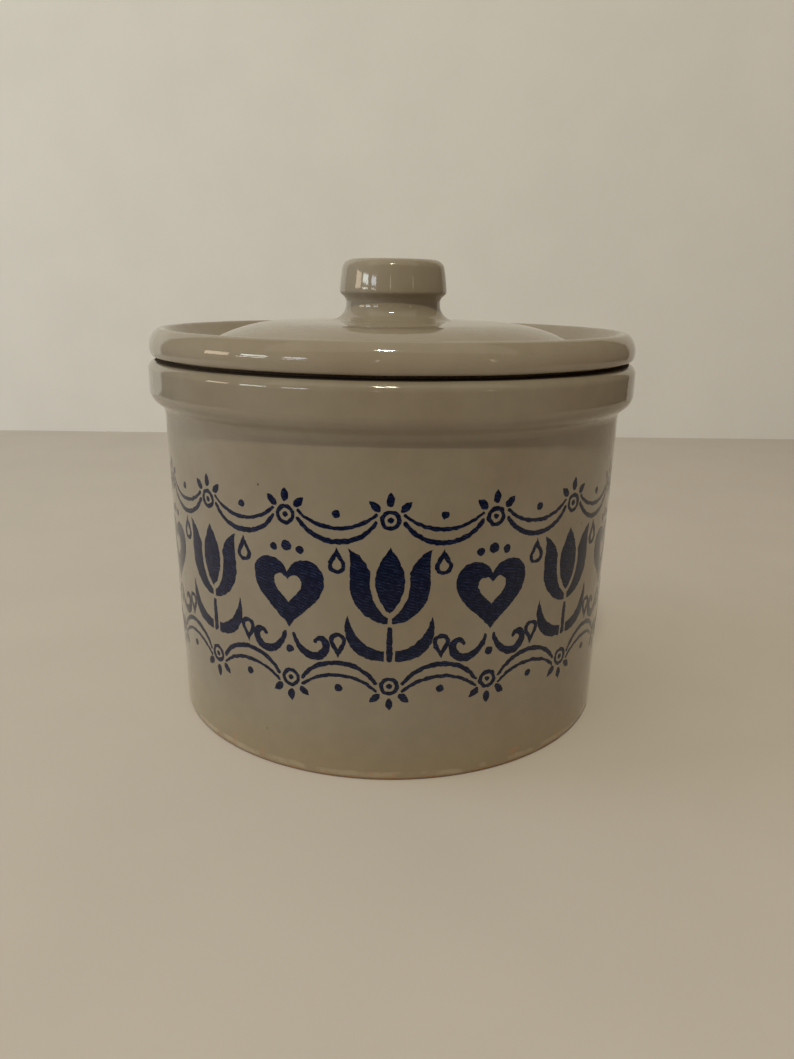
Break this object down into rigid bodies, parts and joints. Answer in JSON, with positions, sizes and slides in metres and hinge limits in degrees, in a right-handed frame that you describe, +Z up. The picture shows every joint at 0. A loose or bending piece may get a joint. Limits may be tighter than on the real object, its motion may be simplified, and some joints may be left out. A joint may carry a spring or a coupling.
{
  "type": "snack jar",
  "caption": "Covered stoneware snack jar: straight-sided crock with a banded rim, and a lift-off domed lid with a raised edge and a flat-topped knob, grey glaze with a cobalt-blue print.",
  "frame": {"origin": "centre of the foot ring, on the surface that the jar stands on", "axes": "+Z is up along the jar's axis, through the knob; -Y faces the person looking at the front"},
  "size_m": [0.1406, 0.1406, 0.1306],
  "materials": {
    "glazed_stoneware": "glossy putty-grey glaze, warmer towards the foot, with fine specks; the foot ring is bare clay",
    "cobalt_print": "dark cobalt-blue print under the same glossy glaze"
  },
  "bodies": {
    "crock": {"crock": "glazed_stoneware"},
    "lid": {"lid": "glazed_stoneware"}
  },
  "joints": [
    {"name": "lid_lift", "type": "slide", "parent": "crock", "child": "lid", "axis": [0, 0, 1], "range_m": [0, 0.12]}
  ]
}
